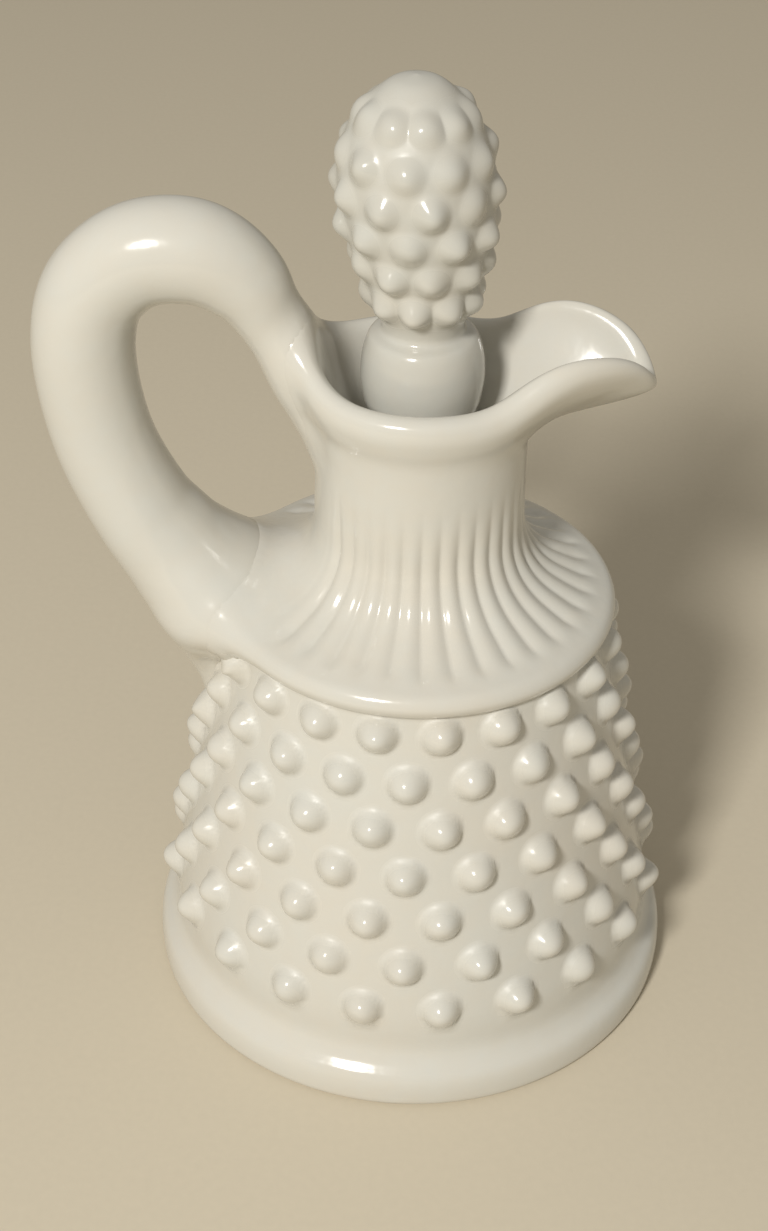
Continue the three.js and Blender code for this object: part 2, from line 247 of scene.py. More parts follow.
def curve_through(stations):
    """Points on a smooth curve through stations, each a place and the number of steps to the next one."""
    points = [Vector(place) for place, _ in stations]
    found = []
    for i, (_, steps) in enumerate(stations[:-1]):
        before, start, end = points[max(i - 1, 0)], points[i], points[i + 1]
        after = points[min(i + 2, len(points) - 1)]
        span = math.sqrt((end - start).length)
        lead = math.sqrt((start - before).length) or span
        trail = math.sqrt((after - end).length) or span
        out = (end - start) / span * lead + (start - before) / lead * span
        into = (end - start) / span * trail + (after - end) / trail * span
        first = start + out * span / (3 * (lead + span))
        second = end - into * span / (3 * (trail + span))
        for step in range(steps):
            t = step / steps
            rest = 1 - t
            near = start * rest ** 3 + first * 3 * t * rest ** 2
            found.append(near + second * 3 * t * t * rest + end * t ** 3)
    return found + [points[-1]]


def turned_mesh(name, stations, segments):
    """A closed solid of revolution. Its stations are a radius, a height and the steps to the next one.

    They start and end on the axis and run up the outside first.
    """
    outline = curve_through([((radius, 0, height), steps) for radius, height, steps in stations])
    rings = outline[1:-1]
    vertices = [(0, 0, outline[0].z)]
    for point in rings:
        radius = max(point.x, LEAST_RADIUS)
        for j in range(segments):
            turn = 2 * math.pi * j / segments
            vertices.append((radius * math.cos(turn), radius * math.sin(turn), point.z))
    vertices.append((0, 0, outline[-1].z))
    last = len(vertices) - 1
    faces = []
    for j in range(segments):
        k = (j + 1) % segments
        faces.append((0, 1 + k, 1 + j))
        for i in range(len(rings) - 1):
            row, above = 1 + i * segments, 1 + (i + 1) * segments
            faces.append((row + j, row + k, above + k, above + j))
        row = 1 + (len(rings) - 1) * segments
        faces.append((row + j, row + k, last))
    return new_object(name, vertices, faces)


def new_object(name, vertices, faces):
    """A smooth mesh object at the origin."""
    mesh = bpy.data.meshes.new(name)
    mesh.from_pydata(vertices, [], faces)
    mesh.validate()
    mesh.shade_smooth()
    thing = bpy.data.objects.new(name, mesh)
    bpy.context.scene.collection.objects.link(thing)
    return thing


def warp(thing, move):
    """Moves every vertex of a piece."""
    for vertex in thing.data.vertices:
        vertex.co = move(vertex.co)


# Geometry Nodes
def put(tree, kind, inputs=(), **settings):
    """Adds a node. inputs are values or outputs of other nodes, by order or by socket name."""
    node = tree.nodes.new(kind)
    for key, value in settings.items():
        setattr(node, key, value)
    pairs = inputs.items() if isinstance(inputs, dict) else enumerate(inputs)
    for key, value in pairs:
        if isinstance(value, bpy.types.NodeSocket):
            tree.links.new(value, node.inputs[key])
        elif value is not None:
            node.inputs[key].default_value = value
    return node


def sum_of(tree, operation, *values):
    """The result of a Math node."""
    return put(tree, "ShaderNodeMath", values, operation=operation).outputs[0]


def fade(tree, value, start, end):
    """1 below start, 0 above end, smooth between."""
    limits = {"Value": value, "From Min": start, "From Max": end, "To Min": 1.0, "To Max": 0.0}
    return put(tree, "ShaderNodeMapRange", limits, interpolation_type="SMOOTHSTEP").outputs[0]


SOCKETS = {
    "Geometry": "NodeSocketGeometry",
    "Material": "NodeSocketMaterial",
    "Rows": "NodeSocketInt",
    "Per row": "NodeSocketInt",
    "Flutes": "NodeSocketInt",
}


def labels_of(group):
    """The label of each property in a group, by its name in the code."""
    own = group.bl_rna.properties.items()
    return {key: entry.name for key, entry in own if key not in ("rna_type", "name")}


def values_of(group, material):
    """What a tree takes from a property group, by the labels that they share, and its material."""
    return {label: getattr(group, key) for key, label in labels_of(group).items()} | {"Material": material}


def new_tree(name, labels):
    """A Geometry Nodes tree with named inputs. It gives the tree and its inputs by name."""
    tree = bpy.data.node_groups.new(name, "GeometryNodeTree")
    tree.is_modifier = True
    for label in ["Geometry", *labels, "Material"]:
        kind = SOCKETS.get(label, "NodeSocketFloat")
        tree.interface.new_socket(name=label, in_out="INPUT", socket_type=kind)
    tree.interface.new_socket(name="Geometry", in_out="OUTPUT", socket_type="NodeSocketGeometry")
    group = put(tree, "NodeGroupInput")
    return tree, {socket.name: socket for socket in group.outputs if socket.name}


def close_tree(tree, geometry, given):
    """Ends a tree in plain smooth geometry with its material."""
    shaded = put(tree, "GeometryNodeSetShadeSmooth", {"Geometry": geometry}).outputs[0]
    realized = put(tree, "GeometryNodeRealizeInstances", {"Geometry": shaded}).outputs[0]
    paint = {"Geometry": realized, "Material": given["Material"]}
    painted = put(tree, "GeometryNodeSetMaterial", paint).outputs[0]
    put(tree, "NodeGroupOutput", [painted])


def swell(tree, geometry, height):
    """Moves the surface along its normal."""
    normal = put(tree, "GeometryNodeInputNormal").outputs[0]
    offset = put(tree, "ShaderNodeVectorMath", {0: normal, "Scale": height}, operation="SCALE").outputs[0]
    return put(tree, "GeometryNodeSetPosition", {"Geometry": geometry, "Offset": offset}).outputs[0]


def centred_noise(tree, waves, detail):
    """Noise over a piece, mostly from -0.25 to 0.25, with so many waves to the metre."""
    noise = put(tree, "ShaderNodeTexNoise", {"Scale": waves, "Detail": detail}).outputs[0]
    return sum_of(tree, "SUBTRACT", noise, 0.5)


RAY_START = 60 * MM
DUST_STARTS, DUST_FULL, DUST_ENDS = 0.7, 1.0, 1.4
HOBNAIL_WAVES = 230.0
NOISE_STRETCH = 4.0
FOOT_RING = "hob_foot"


def hobnail_places(tree, given):
    """Points on the glass for rows of hobnails, found by rays from outside towards the axis."""
    total = sum_of(tree, "MULTIPLY", given["Rows"], given["Per row"])
    index = put(tree, "GeometryNodeInputIndex").outputs[0]
    row = sum_of(tree, "FLOOR", sum_of(tree, "DIVIDE", index, given["Per row"]))
    stagger = sum_of(tree, "MULTIPLY", sum_of(tree, "MODULO", row, 2.0), 0.5)
    step = sum_of(tree, "DIVIDE", 2 * math.pi, given["Per row"])
    turn = sum_of(tree, "MULTIPLY_ADD", sum_of(tree, "ADD", index, stagger), step, given["Turn"])
    climb = sum_of(tree, "DIVIDE", row, sum_of(tree, "SUBTRACT", given["Rows"], 1.0))
    rise = sum_of(tree, "SUBTRACT", given["Highest row"], given["Lowest row"])
    height = sum_of(tree, "MULTIPLY_ADD", climb, rise, given["Lowest row"])
    x = sum_of(tree, "MULTIPLY", sum_of(tree, "SINE", turn), RAY_START)
    y = sum_of(tree, "MULTIPLY", sum_of(tree, "COSINE", turn), -RAY_START)
    start = put(tree, "ShaderNodeCombineXYZ", [x, y, height]).outputs[0]
    points = put(tree, "GeometryNodePoints", {"Count": total, "Position": start}).outputs[0]
    place = put(tree, "GeometryNodeInputPosition").outputs[0]
    inwards = put(tree, "ShaderNodeVectorMath", [place, (-1.0, -1.0, 0.0)], operation="MULTIPLY")
    aim = {"Target Geometry": given["Geometry"], "Ray Direction": inwards.outputs[0], "Ray Length": RAY_START}
    hit = put(tree, "GeometryNodeRaycast", aim).outputs["Hit Position"]
    return put(tree, "GeometryNodeSetPosition", {"Geometry": points, "Position": hit}).outputs[0]


def hobnail_tree():
    """Rows of hobnails that swell up from the glass.

    The attribute FOOT_RING marks the ring round the foot of each, where dust settles. The ring's limits are
    shares of a hobnail's radius.
    """
    tree, given = new_tree("Hobnails", labels_of(WallHobnails).values())
    seats = hobnail_places(tree, given)
    near = put(tree, "GeometryNodeProximity", [seats], target_element="POINTS").outputs["Distance"]
    away = sum_of(tree, "DIVIDE", near, given["Radius"])
    beyond = sum_of(tree, "SUBTRACT", 1.0, fade(tree, away, DUST_STARTS, DUST_FULL))
    ring = sum_of(tree, "MULTIPLY", fade(tree, away, DUST_FULL, DUST_ENDS), beyond)
    mark = {"Geometry": given["Geometry"], "Name": FOOT_RING, "Value": ring}
    store = put(tree, "GeometryNodeStoreNamedAttribute", mark, data_type="FLOAT", domain="POINT")
    part = sum_of(tree, "MINIMUM", away, 1.0)
    bowl = sum_of(tree, "SUBTRACT", 1.0, sum_of(tree, "MULTIPLY", part, part))
    dome = sum_of(tree, "POWER", bowl, given["Fullness"])
    place = put(tree, "GeometryNodeInputPosition").outputs[0]
    up = put(tree, "ShaderNodeSeparateXYZ", [place]).outputs[2]
    climb = {"Value": up, "From Min": given["Lowest row"], "From Max": given["Highest row"]}
    heights = {"To Min": 1.0, "To Max": given["Top share"]}
    shrink = put(tree, "ShaderNodeMapRange", climb | heights).outputs[0]
    noise = sum_of(tree, "MULTIPLY", centred_noise(tree, HOBNAIL_WAVES, 0.0), NOISE_STRETCH)
    varied = sum_of(tree, "MULTIPLY_ADD", noise, given["Unevenness"], 1.0)
    tall = sum_of(tree, "MULTIPLY", sum_of(tree, "MULTIPLY", given["Height"], shrink), varied)
    raised = swell(tree, store.outputs[0], sum_of(tree, "MULTIPLY", dome, tall))
    close_tree(tree, raised, given)


PAD_CORE = 0.75


def flute_tree():
    """Ribs that fan over the shoulder, fade out up the neck and are smoothed away under the handle.

    The pad under the handle is quite smooth over the share PAD_CORE of its angle.
    """
    tree, given = new_tree("Flutes", labels_of(ShoulderFlutes).values())
    place = put(tree, "GeometryNodeInputPosition").outputs[0]
    x, y, z = put(tree, "ShaderNodeSeparateXYZ", [place]).outputs
    square = sum_of(tree, "ADD", sum_of(tree, "MULTIPLY", x, x), sum_of(tree, "MULTIPLY", y, y))
    radius = sum_of(tree, "SQRT", square)
    front = sum_of(tree, "ARCTAN2", x, sum_of(tree, "MULTIPLY", y, -1.0))
    half = sum_of(tree, "MULTIPLY", given["Flutes"], 0.5)
    phase = sum_of(tree, "MULTIPLY", sum_of(tree, "SUBTRACT", front, given["Turn"]), half)
    rib = sum_of(tree, "ABSOLUTE", sum_of(tree, "COSINE", phase))
    depth = sum_of(tree, "MULTIPLY", sum_of(tree, "SUBTRACT", 1.0, rib), given["Depth"])
    from_handle = sum_of(tree, "ABSOLUTE", sum_of(tree, "ADD", front, math.pi / 2))
    core = sum_of(tree, "MULTIPLY", given["Pad angle"], PAD_CORE)
    masks = (
        fade(tree, radius, given["Inner radius"], given["Outer radius"]),
        fade(tree, z, given["Full up to"], given["Fade out at"]),
        sum_of(tree, "SUBTRACT", 1.0, fade(tree, from_handle, core, given["Pad angle"])),
        sum_of(tree, "GREATER_THAN", radius, given["Outside of"]),
        sum_of(tree, "GREATER_THAN", z, given["Above"]),
    )
    for mask in masks:
        depth = sum_of(tree, "MULTIPLY", depth, mask)
    cut = swell(tree, given["Geometry"], sum_of(tree, "MULTIPLY", depth, -1.0))
    close_tree(tree, cut, given)


RIPPLE_WAVES = 90.0


def ripple_tree():
    """Faint waves that the hot glass keeps."""
    tree, given = new_tree("Ripple", ["Height"])
    wave = sum_of(tree, "MULTIPLY", centred_noise(tree, RIPPLE_WAVES, 1.0), given["Height"])
    close_tree(tree, swell(tree, given["Geometry"], wave), given)


def apply_tree(thing, tree, values):
    """Puts a tree on an object, fills its inputs by name and turns the result into a plain mesh."""
    modifier = thing.modifiers.new(tree.name, "NODES")
    modifier.node_group = tree
    for item in tree.interface.items_tree:
        if item.in_out == "INPUT" and item.name in values:
            modifier[item.identifier] = values[item.name]
    bpy.context.view_layer.update()
    evaluated = thing.evaluated_get(bpy.context.evaluated_depsgraph_get())
    mesh = bpy.data.meshes.new_from_object(evaluated)
    thing.modifiers.clear()
    old = thing.data
    thing.data = mesh
    mesh.name = thing.name
    bpy.data.meshes.remove(old)


# Materials. Every scale of a noise is in waves to the metre.
CLOUD_WAVES, GRAIN_WAVES = 45.0, 420.0
GRAIN_SHARE = 0.3
CLOUD_LOW, CLOUD_HIGH = 0.35, 0.65
COOL_TINT, WARM_TINT = (0.96, 1.0, 1.0, 1), (1.0, 0.97, 0.9, 1)


def noise_on(tree, waves, detail):
    """Noise that stays on a piece's own surface."""
    place = put(tree, "ShaderNodeTexCoord").outputs["Object"]
    return put(tree, "ShaderNodeTexNoise", {"Vector": place, "Scale": waves, "Detail": detail}).outputs[0]


def shader_group(name, inputs, outputs):
    """An empty group of shader nodes, and its inputs by name. Each socket has a name and a kind."""
    group = bpy.data.node_groups.new(name, "ShaderNodeTree")
    for direction, sockets in (("INPUT", inputs), ("OUTPUT", outputs)):
        for label, kind in sockets.items():
            group.interface.new_socket(name=label, in_out=direction, socket_type="NodeSocket" + kind)
    return group, put(group, "NodeGroupInput").outputs


def clouding_group():
    """Faint warm and cool clouds in pressed glass: a base colour in, a varied colour out."""
    group, given = shader_group("Glass clouding", {"Colour": "Color", "Amount": "Float"}, {"Colour": "Color"})
    wide = sum_of(group, "MULTIPLY", noise_on(group, CLOUD_WAVES, 3.0), 1 - GRAIN_SHARE)
    mask = sum_of(group, "MULTIPLY_ADD", noise_on(group, GRAIN_WAVES, 2.0), GRAIN_SHARE, wide)
    limits = {"Value": mask, "From Min": CLOUD_LOW, "From Max": CLOUD_HIGH}
    spread = put(group, "ShaderNodeMapRange", limits).outputs[0]
    plain = given["Colour"]
    cool = put(group, "ShaderNodeMixRGB", [1.0, plain, COOL_TINT], blend_type="MULTIPLY").outputs[0]
    warm = put(group, "ShaderNodeMixRGB", [1.0, plain, WARM_TINT], blend_type="MULTIPLY").outputs[0]
    clouds = put(group, "ShaderNodeMixRGB", [spread, warm, cool]).outputs[0]
    varied = put(group, "ShaderNodeMixRGB", [given["Amount"], plain, clouds]).outputs[0]
    put(group, "NodeGroupOutput", [varied])
    return group


PEEL_WAVES, WEAR_WAVES = 350.0, 120.0
PEEL_STRENGTH = 0.12
PEEL_HEIGHT = 0.4 * MM
WEAR_ROUGHNESS = 0.08


def polish_group():
    """Orange-peel and wear of fire-polished glass: a roughness in, a normal and a varied roughness out."""
    skin = {"Normal": "Vector", "Roughness": "Float"}
    group, given = shader_group("Fire polish", {"Roughness": "Float"}, skin)
    peel = {"Strength": PEEL_STRENGTH, "Distance": PEEL_HEIGHT, "Height": noise_on(group, PEEL_WAVES, 2.0)}
    bump = put(group, "ShaderNodeBump", peel).outputs[0]
    wear = noise_on(group, WEAR_WAVES, 4.0)
    rough = sum_of(group, "MULTIPLY_ADD", wear, WEAR_ROUGHNESS, given["Roughness"])
    put(group, "NodeGroupOutput", [bump, rough])
    return group


GLASS_IOR = 1.5


def milk_glass(name, tint, finish, clouding, polish):
    """Opaque glossy glass, clouded and fire-polished, with dust round the feet of its hobnails."""
    material = bpy.data.materials.new(name)
    material.use_nodes = True
    tree = material.node_tree
    shader = tree.nodes["Principled BSDF"]
    cloud = put(tree, "ShaderNodeGroup", node_tree=clouding)
    cloud.inputs["Colour"].default_value = (*tint, 1)
    cloud.inputs["Amount"].default_value = finish.cloud
    skin = put(tree, "ShaderNodeGroup", node_tree=polish)
    skin.inputs["Roughness"].default_value = finish.gloss
    foot = put(tree, "ShaderNodeAttribute", attribute_name=FOOT_RING).outputs["Fac"]
    rough = sum_of(tree, "MULTIPLY_ADD", foot, finish.dust, skin.outputs["Roughness"])
    tree.links.new(cloud.outputs["Colour"], shader.inputs["Base Color"])
    tree.links.new(rough, shader.inputs["Roughness"])
    tree.links.new(skin.outputs["Normal"], shader.inputs["Normal"])
    shader.inputs["IOR"].default_value = GLASS_IOR


PAPER_WAVES = 900.0
PAPER_GRAIN = 0.03
PAPER_ROUGHNESS, PAPER_SHEEN = 0.8, 0.2


def floor_paper(tint):
    """Plain dull paper with a faint grain."""
    material = bpy.data.materials.new("floor_paper")
    material.use_nodes = True
    tree = material.node_tree
    shader = tree.nodes["Principled BSDF"]
    dark, light = ([part * shade for part in tint] for shade in (1 - PAPER_GRAIN, 1 + PAPER_GRAIN))
    grain = put(tree, "ShaderNodeMixRGB", [noise_on(tree, PAPER_WAVES, 3.0), (*dark, 1), (*light, 1)])
    tree.links.new(grain.outputs[0], shader.inputs["Base Color"])
    shader.inputs["Roughness"].default_value = PAPER_ROUGHNESS
    shader.inputs["Specular IOR Level"].default_value = PAPER_SHEEN
    return material


# The bottle
def bottle_stations(size):
    """Outline of the bottle from the middle of its base, up the outside and down the inside.

    Each station is a radius, a height and the steps to the next one.
    """
    skirt_top = size.wall_height + size.skirt_height
    neck_bottom = skirt_top + size.shoulder_rise
    lip_bottom = neck_bottom + size.neck_height
    rim = lip_bottom + size.lip_height
    inner_top = size.wall_top - size.wall_thickness
    inner_bottom = size.wall_bottom - size.wall_thickness

    def wall(part):
        return mix(size.wall_bottom, size.wall_top, part), mix(size.foot_band, size.wall_height, part)

    def flare(part):
        return mix(size.wall_bottom, size.foot_radius, part)

    def shoulder(part):
        return mix(size.skirt_radius, size.neck_radius, part)

    def lip(part):
        return mix(size.neck_radius, size.lip_radius, part)

    return [
        (0, size.recess_depth, 5),
        (size.recess_radius, size.recess_depth, 2),
        (size.recess_radius + 0.8 * MM, size.recess_depth * 0.6, 2),
        (size.recess_radius + 1.6 * MM, 0, 3),
        (size.foot_radius - 1.5 * MM, 0, 2),
        (size.foot_radius - 0.6 * MM, 0.15 * MM, 2),
        (size.foot_radius - 0.15 * MM, 0.6 * MM, 3),
        (size.foot_radius, 1.5 * MM, 3),
        (size.foot_radius - 0.1 * MM, 3.5 * MM, 3),
        (flare(0.82), 4.7 * MM, 4),
        (flare(0.4), 5.9 * MM, 4),
        (flare(0.12), 7.4 * MM, 5),
        (*wall(0), 42),
        (*wall(0.5), 42),
        (*wall(0.97), 3),
        (size.wall_top + 0.15 * MM, size.wall_height - 0.1 * MM, 2),
        (size.skirt_radius - 0.45 * MM, size.wall_height + size.skirt_height * 0.12, 3),
        (size.skirt_radius, size.wall_height + size.skirt_height * 0.42, 4),
        (size.skirt_radius - 0.6 * MM, size.wall_height + size.skirt_height * 0.74, 4),
        (shoulder(0.19), skirt_top - 0.2 * MM, 7),
        (shoulder(0.45), skirt_top + size.shoulder_rise * 0.15, 7),
        (shoulder(0.72), skirt_top + size.shoulder_rise * 0.4, 6),
        (shoulder(0.88), skirt_top + size.shoulder_rise * 0.68, 5),
        (shoulder(0.975), neck_bottom + size.neck_height * 0.03, 6),
        (size.neck_radius, neck_bottom + size.neck_height * 0.4, 6),
        (size.neck_radius, lip_bottom + size.lip_height * 0.05, 4),
        (lip(0.18), lip_bottom + size.lip_height * 0.36, 4),
        (lip(0.7), lip_bottom + size.lip_height * 0.56, 4),
        (lip(1), lip_bottom + size.lip_height * 0.77, 4),
        (mix(size.rim_radius, size.lip_radius, 0.72), lip_bottom + size.lip_height * 0.94, 3),
        (size.rim_radius, rim, 3),
        (size.rim_radius - 0.9 * MM, rim - 0.45 * MM, 3),
        (size.rim_radius - 1.6 * MM, rim - 1.7 * MM, 5),
        (mix(size.bore_top, size.rim_radius, 0.5), lip_bottom + size.lip_height * 0.55, 5),
        (mix(size.bore_top, size.rim_radius, 0.2), lip_bottom + size.lip_height * 0.25, 4),
        (size.bore_top, lip_bottom, 4),
        (size.bore_bottom, neck_bottom - size.shoulder_rise / 2, 3),
        (size.bore_bottom + 3 * MM, skirt_top + 0.1 * MM, 3),
        (inner_top - 1.5 * MM, size.wall_height + 0.6 * MM, 3),
        (inner_top + 0.3 * MM, size.wall_height - 2 * MM, 3),
        (inner_bottom - 0.3 * MM, size.foot_band + 1.5 * MM, 3),
        (inner_bottom - 1 * MM, size.base_thickness + size.wall_thickness, 2),
        (inner_bottom - 4 * MM, size.base_thickness + 0.3 * MM, 3),
        (0, size.base_thickness, 1),
    ]


PULL_STARTS, PULL_FULL = 0.12, 0.86


def pulled_lip(size):
    """The move that pulls the lip out to the spout, raises its flanks and draws it up to the handle.

    The pull grows between two shares of the lip's height, and the roll of the rim above them keeps its shape.
    """
    lip_bottom = size.wall_height + size.skirt_height + size.shoulder_rise + size.neck_height

    def move(point):
        part = min(max((point.z - lip_bottom) / size.lip_height, 0), 1)
        if part == 0:
            return point
        radius = math.hypot(point.x, point.y)
        turn = abs(math.atan2(point.y, point.x))
        blunt = math.hypot(turn, size.tip_angle)
        most = bell(size.tip_angle, size.spout_angle, size.spout_power)
        swing = bell(blunt, size.spout_angle, size.spout_power) / most
        pull = smooth(part, PULL_STARTS, PULL_FULL)
        spout = size.spout_reach * pull * swing
        draw = size.handle_draw * part * bell(math.pi - turn, size.draw_angle)
        flank = size.flank_rise * bell(turn - size.flank_angle, size.flank_angle)
        tip = size.tip_drop * bell(turn, size.flank_angle / 3)
        rise = size.handle_rise * bell(math.pi - turn, size.rise_angle)
        scale = (radius + spout + draw) / radius
        height = point.z + pull * (flank - tip) + part * rise
        return Vector((point.x * scale, point.y * scale, height))

    return move


# The handle
def handle_stations(size, bottle):
    """Centre line of the handle from the lip to the tail on the wall.

    Each station is an x, a height, a half thickness and a half width.
    """
    lip_bottom = bottle.wall_height + bottle.skirt_height + bottle.shoulder_rise + bottle.neck_height
    skirt_top = bottle.wall_height + bottle.skirt_height
    far = -size.reach + size.grip / 2
    arch_x = far + size.arch_width
    arch_z = size.top - size.grip / 2 - size.arch_drop
    half, top, root = size.grip / 2, size.grip_top / 2, size.grip_root / 2
    wide = size.root_width / 2

    def arch(turn):
        turn = math.radians(turn)
        return arch_x + size.arch_width * math.cos(turn), arch_z + size.arch_drop * math.sin(turn)

    def on_wall(part, stand):
        height = bottle.wall_height - size.tail * part
        along = (height - bottle.foot_band) / (bottle.wall_height - bottle.foot_band)
        return -mix(bottle.wall_bottom, bottle.wall_top, along) - stand, height

    start = arch(42)
    lip = (-bottle.neck_radius - 2.2 * MM, lip_bottom + bottle.lip_height * 0.74)
    seat = (-bottle.skirt_radius - size.grip_root * 0.29, skirt_top + size.grip_root * 0.1)
    return [
        (-bottle.neck_radius + 1.2 * MM, lip_bottom, top * 0.4, top * 0.8),
        (*lip, top * 0.7, top * 1.2),
        (mix(lip[0], start[0], 0.4), mix(lip[1], start[1], 0.52), top * 0.98, top * 1.2),
        (*start, mix(top, half, 0.6), mix(top, half, 0.65)),
        (*arch(75), half * 0.98, half * 0.98),
        (*arch(110), half, half),
        (*arch(145), half, half),
        (*arch(180), half, half),
        (mix(far, seat[0], 0.12), mix(arch_z, seat[1], 0.4), half, half),
        (mix(far, seat[0], 0.52), mix(arch_z, seat[1], 0.74), mix(half, root, 0.3), mix(half, wide, 0.3)),
        (*seat, root, wide * 0.85),
        (*on_wall(0.1, 3.6 * MM), root * 0.7, wide * 0.86),
        (*on_wall(0.5, 2 * MM), root * 0.43, wide * 0.52),
        (*on_wall(0.84, 0.3 * MM), root * 0.22, wide * 0.28),
        (*on_wall(1.1, -1.1 * MM), root * 0.1, wide * 0.12),
    ]


def swept_mesh(name, stations, sides, steps):
    """A closed bar along stations in the XZ plane, oval in section."""
    curve = curve_through([(station, steps) for station in stations])
    path = [Vector((point[0], 0, point[1])) for point in curve]
    vertices = []
    for i, (centre, (_, _, thick, wide)) in enumerate(zip(path, curve)):
        tangent = (path[min(i + 1, len(path) - 1)] - path[max(i - 1, 0)]).normalized()
        across = Vector((tangent.z, 0, -tangent.x))
        for j in range(sides):
            turn = 2 * math.pi * j / sides
            vertices.append(centre + across * thick * math.cos(turn) + Vector((0, wide * math.sin(turn), 0)))
    faces = [tuple(reversed(range(sides)))]
    for i in range(len(path) - 1):
        for j in range(sides):
            k = (j + 1) % sides
            row, ahead = i * sides, (i + 1) * sides
            faces.append((row + j, row + k, ahead + k, ahead + j))
    last = (len(path) - 1) * sides
    faces.append(tuple(last + j for j in range(sides)))
    return new_object(name, vertices, faces)


def set_down(point):
    """The move that keeps the base flat on the floor, which the ripples would cross."""
    return Vector((point.x, point.y, max(point.z, 0)))


def surface_of(thing):
    """A piece's surface as it is now, for measuring distances to it."""
    places = [vertex.co.copy() for vertex in thing.data.vertices]
    return BVHTree.FromPolygons(places, [tuple(face.vertices) for face in thing.data.polygons])


HALVINGS = 7
SINK_STARTS, SINK_ENDS = 1 / 12, 0.35


def swelling_at(place, normal, other, width):
    """How far a point moves along its normal to reach the skin that joins its surface with another one.

    The skin stands a quarter of the width above the line where the two surfaces cross. Beyond that line the
    point sinks back under the other surface, between two shares of the width.
    """

    def gap(rise):
        spot = place + normal * rise
        near, facing, _, _ = other.find_nearest(spot)
        return math.copysign((spot - near).length, (spot - near).dot(facing))

    if other.find_nearest(place, width)[0] is None:
        return 0
    full = width / 4
    depth = full - gap(full)
    if depth > 0:
        return (full + depth / 2) * (1 - smooth(depth, width * SINK_STARTS, width * SINK_ENDS))
    low, high = 0, full
    for _ in range(HALVINGS):
        rise = (low + high) / 2
        apart = gap(rise) - rise
        joined = rise - max(width - apart, 0) ** 2 / (4 * width)
        low, high = (rise, high) if joined < 0 else (low, rise)
    return (low + high) / 2


def melt_width(height, grip, size):
    """Width of the glass that runs together: along the tail, at the shoulder or at the lip, by height."""
    skirt_top = size.wall_height + size.skirt_height
    root_starts, root_full = size.wall_height - 6.6 * MM, size.wall_height + 1.4 * MM
    lip_starts, lip_full = skirt_top + 2.6 * MM, skirt_top + 16.6 * MM
    width = mix(grip.tail_melt, grip.root_melt, smooth(height, root_starts, root_full))
    return mix(width, grip.lip_melt, smooth(height, lip_starts, lip_full))


FACING_STARTS, FACING_FULL = -0.3, 0.1
MOUTH_STARTS, MOUTH_FULL = 3 * MM, 9 * MM


def melt(thing, other, grip, size, outside_only):
    """Swells a piece where it nears another, as hot glass does, so that the two join in a hollow curve.

    With outside_only, glass that faces the axis stays as it is, except in the mouth.
    """
    mesh = thing.data
    lip_bottom = size.wall_height + size.skirt_height + size.shoulder_rise + size.neck_height
    swelling = []
    for vertex in mesh.vertices:
        place, normal = vertex.co, vertex.normal
        radius = math.hypot(place.x, place.y) or 1
        outwards = (normal.x * place.x + normal.y * place.y) / radius
        mouth = smooth(place.z, lip_bottom + MOUTH_STARTS, lip_bottom + MOUTH_FULL)
        part = smooth(outwards + mouth, FACING_STARTS, FACING_FULL) if outside_only else 1
        rise = swelling_at(place, normal, other, melt_width(place.z, grip, size)) * part if part > 0 else 0
        swelling.append(normal * rise)
    for vertex, rise in zip(mesh.vertices, swelling):
        vertex.co += rise
    mesh.update()


# The stopper
def stopper_stations(size):
    """Outline of the stopper from the middle of the peg's end up to the finial's tip.

    Each station is a radius, a height and the steps to the next one.
    """
    peg_top = size.peg_end + size.peg_height
    knob = peg_top + size.groove
    waist = knob + size.knob_height

    def finial(part):
        return mix(waist, size.tip, part)

    return [
        (0, size.peg_end, 4),
        (size.peg_bottom - 0.8 * MM, size.peg_end, 2),
        (size.peg_bottom, size.peg_end + 0.8 * MM, 6),
        (size.peg_top, peg_top, 4),
        (size.groove_radius, knob, 6),
        (size.knob_radius * 0.96, knob + size.knob_height * 0.25, 6),
        (size.knob_radius, knob + size.knob_height * 0.5, 6),
        (size.knob_radius * 0.95, knob + size.knob_height * 0.77, 6),
        (mix(size.waist, size.knob_radius, 0.55), knob + size.knob_height * 0.93, 4),
        (size.waist, waist, 6),
        (mix(size.waist, size.finial_radius, 0.28), finial(0.13), 13),
        (mix(size.waist, size.finial_radius, 0.66), finial(0.3), 13),
        (size.finial_radius * 0.96, finial(0.45), 11),
        (size.finial_radius, finial(0.58), 11),
        (size.finial_radius * 0.96, finial(0.7), 11),
        (size.finial_radius * 0.81, finial(0.82), 10),
        (size.finial_radius * 0.57, finial(0.915), 8),
        (size.finial_radius * 0.3, finial(0.98), 7),
        (0, size.tip, 1),
    ]


def leaning(size):
    """The move that leans the finial over on its knob."""
    waist = size.peg_end + size.peg_height + size.groove + size.knob_height
    start, end = waist - size.knob_height / 4, mix(waist, size.tip, 0.8)

    def move(point):
        return Vector((point.x + size.lean * smooth(point.z, start, end), point.y, point.z))

    return move


def finish_piece(thing, body, node):
    """Places a finished piece in the frame, in the place of its CAD node."""
    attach(thing, body)
    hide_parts(node)


# Operators
class CRUET_OT_finishes(bpy.types.Operator):
    """Makes the milk glass of each piece and the trees that shape it"""
    bl_idname = "cruet.finishes"
    bl_label = "Make finishes"

    def execute(self, context):
        finish = context.scene.cruet_glass
        clouding, polish = clouding_group(), polish_group()
        tints = {"bottle_glass": finish.body, "handle_glass": finish.handle, "stopper_glass": finish.stopper}
        for name, tint in tints.items():
            milk_glass(name, tint, finish, clouding, polish)
        hobnail_tree()
        flute_tree()
        ripple_tree()
        return {"FINISHED"}


